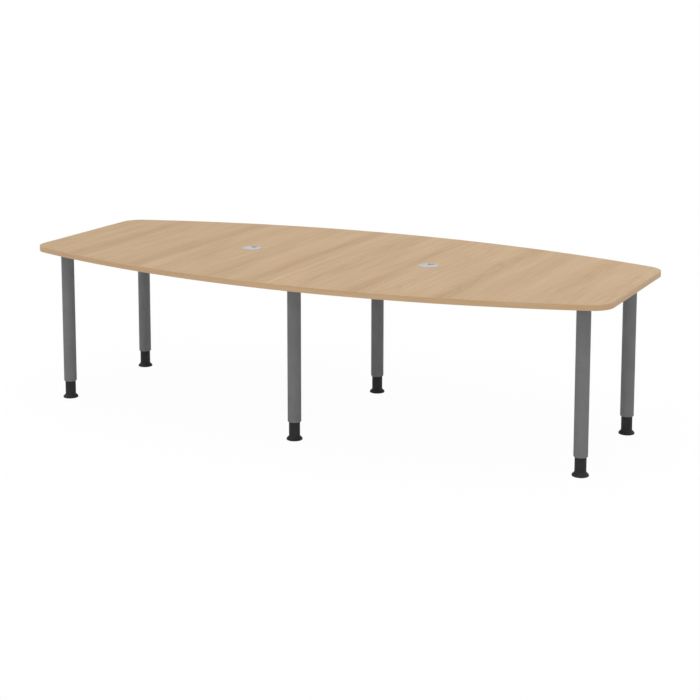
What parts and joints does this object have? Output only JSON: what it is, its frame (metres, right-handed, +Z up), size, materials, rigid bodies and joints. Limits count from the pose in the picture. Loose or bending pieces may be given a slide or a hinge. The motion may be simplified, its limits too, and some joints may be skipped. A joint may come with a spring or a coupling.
{
  "type": "conference table",
  "caption": "Boat-shaped conference table: two-part wood-decor top with rounded corners and cable outlets, on round steel legs with height-setting flared plastic feet.",
  "frame": {"origin": "on the floor, under the middle of the top", "axes": "+X along the table, +Y to the back, away from the picture's side, +Z up"},
  "size_m": [2.8, 1.3, 0.742],
  "materials": {
    "oak_decor": "matt melamine face with a pale oak decor, grain across the table",
    "oak_edging": "plastic edge band in the same decor",
    "grey_paint": "satin powder coat, mid grey",
    "black_plastic": "fine moulded texture, black",
    "silver_plastic": "satin, silver grey",
    "dark_plastic": "moulded, dark grey",
    "zinc_steel": "bright zinc"
  },
  "bodies": {
    "table": {"table_top_left": "oak_decor", "edge_band_left": "oak_edging", "outlet_sleeve_left": "silver_plastic", "table_top_right": "oak_decor", "edge_band_right": "oak_edging", "outlet_sleeve_right": "silver_plastic", "mounting_plate_front_left": "grey_paint", "leg_tube_front_left": "grey_paint", "guide_bush_front_left": "dark_plastic", "clamp_screw_front_left": "zinc_steel", "plate_screw_front_left_1": "zinc_steel", "plate_screw_front_left_2": "zinc_steel", "plate_screw_front_left_3": "zinc_steel", "mounting_plate_back_left": "grey_paint", "leg_tube_back_left": "grey_paint", "guide_bush_back_left": "dark_plastic", "clamp_screw_back_left": "zinc_steel", "plate_screw_back_left_1": "zinc_steel", "plate_screw_back_left_2": "zinc_steel", "plate_screw_back_left_3": "zinc_steel", "mounting_plate_front_middle": "grey_paint", "leg_tube_front_middle": "grey_paint", "guide_bush_front_middle": "dark_plastic", "clamp_screw_front_middle": "zinc_steel", "plate_screw_front_middle_1": "zinc_steel", "plate_screw_front_middle_2": "zinc_steel", "plate_screw_front_middle_3": "zinc_steel", "plate_screw_front_middle_4": "zinc_steel", "mounting_plate_back_middle": "grey_paint", "leg_tube_back_middle": "grey_paint", "guide_bush_back_middle": "dark_plastic", "clamp_screw_back_middle": "zinc_steel", "plate_screw_back_middle_1": "zinc_steel", "plate_screw_back_middle_2": "zinc_steel", "plate_screw_back_middle_3": "zinc_steel", "plate_screw_back_middle_4": "zinc_steel", "mounting_plate_front_right": "grey_paint", "leg_tube_front_right": "grey_paint", "guide_bush_front_right": "dark_plastic", "clamp_screw_front_right": "zinc_steel", "plate_screw_front_right_1": "zinc_steel", "plate_screw_front_right_2": "zinc_steel", "plate_screw_front_right_3": "zinc_steel", "mounting_plate_back_right": "grey_paint", "leg_tube_back_right": "grey_paint", "guide_bush_back_right": "dark_plastic", "clamp_screw_back_right": "zinc_steel", "plate_screw_back_right_1": "zinc_steel", "plate_screw_back_right_2": "zinc_steel", "plate_screw_back_right_3": "zinc_steel"},
    "foot_front_left": {"foot_front_left": "black_plastic"},
    "foot_back_left": {"foot_back_left": "black_plastic"},
    "foot_front_middle": {"foot_front_middle": "black_plastic"},
    "foot_back_middle": {"foot_back_middle": "black_plastic"},
    "foot_front_right": {"foot_front_right": "black_plastic"},
    "foot_back_right": {"foot_back_right": "black_plastic"},
    "outlet_insert_left": {"outlet_insert_left": "silver_plastic"},
    "outlet_lid_left": {"outlet_lid_left": "silver_plastic"},
    "outlet_insert_right": {"outlet_insert_right": "silver_plastic"},
    "outlet_lid_right": {"outlet_lid_right": "silver_plastic"}
  },
  "joints": [
    {"name": "foot_front_left_slide", "type": "slide", "parent": "table", "child": "foot_front_left", "axis": [0, 0, 1], "range_m": [-0.02, 0.06]},
    {"name": "foot_back_left_slide", "type": "slide", "parent": "table", "child": "foot_back_left", "axis": [0, 0, 1], "range_m": [-0.02, 0.06]},
    {"name": "foot_front_middle_slide", "type": "slide", "parent": "table", "child": "foot_front_middle", "axis": [0, 0, 1], "range_m": [-0.02, 0.06]},
    {"name": "foot_back_middle_slide", "type": "slide", "parent": "table", "child": "foot_back_middle", "axis": [0, 0, 1], "range_m": [-0.02, 0.06]},
    {"name": "foot_front_right_slide", "type": "slide", "parent": "table", "child": "foot_front_right", "axis": [0, 0, 1], "range_m": [-0.02, 0.06]},
    {"name": "foot_back_right_slide", "type": "slide", "parent": "table", "child": "foot_back_right", "axis": [0, 0, 1], "range_m": [-0.02, 0.06]},
    {"name": "outlet_insert_left_lift", "type": "slide", "parent": "table", "child": "outlet_insert_left", "axis": [0, 0, 1], "range_m": [0, 0.03]},
    {"name": "outlet_lid_left_turn", "type": "hinge", "parent": "outlet_insert_left", "child": "outlet_lid_left", "pos_m": [-0.45, 0, 0.73825], "axis": [0, 0, 1], "continuous": true},
    {"name": "outlet_insert_right_lift", "type": "slide", "parent": "table", "child": "outlet_insert_right", "axis": [0, 0, 1], "range_m": [0, 0.03]},
    {"name": "outlet_lid_right_turn", "type": "hinge", "parent": "outlet_insert_right", "child": "outlet_lid_right", "pos_m": [0.45, 0, 0.73825], "axis": [0, 0, 1], "continuous": true}
  ]
}
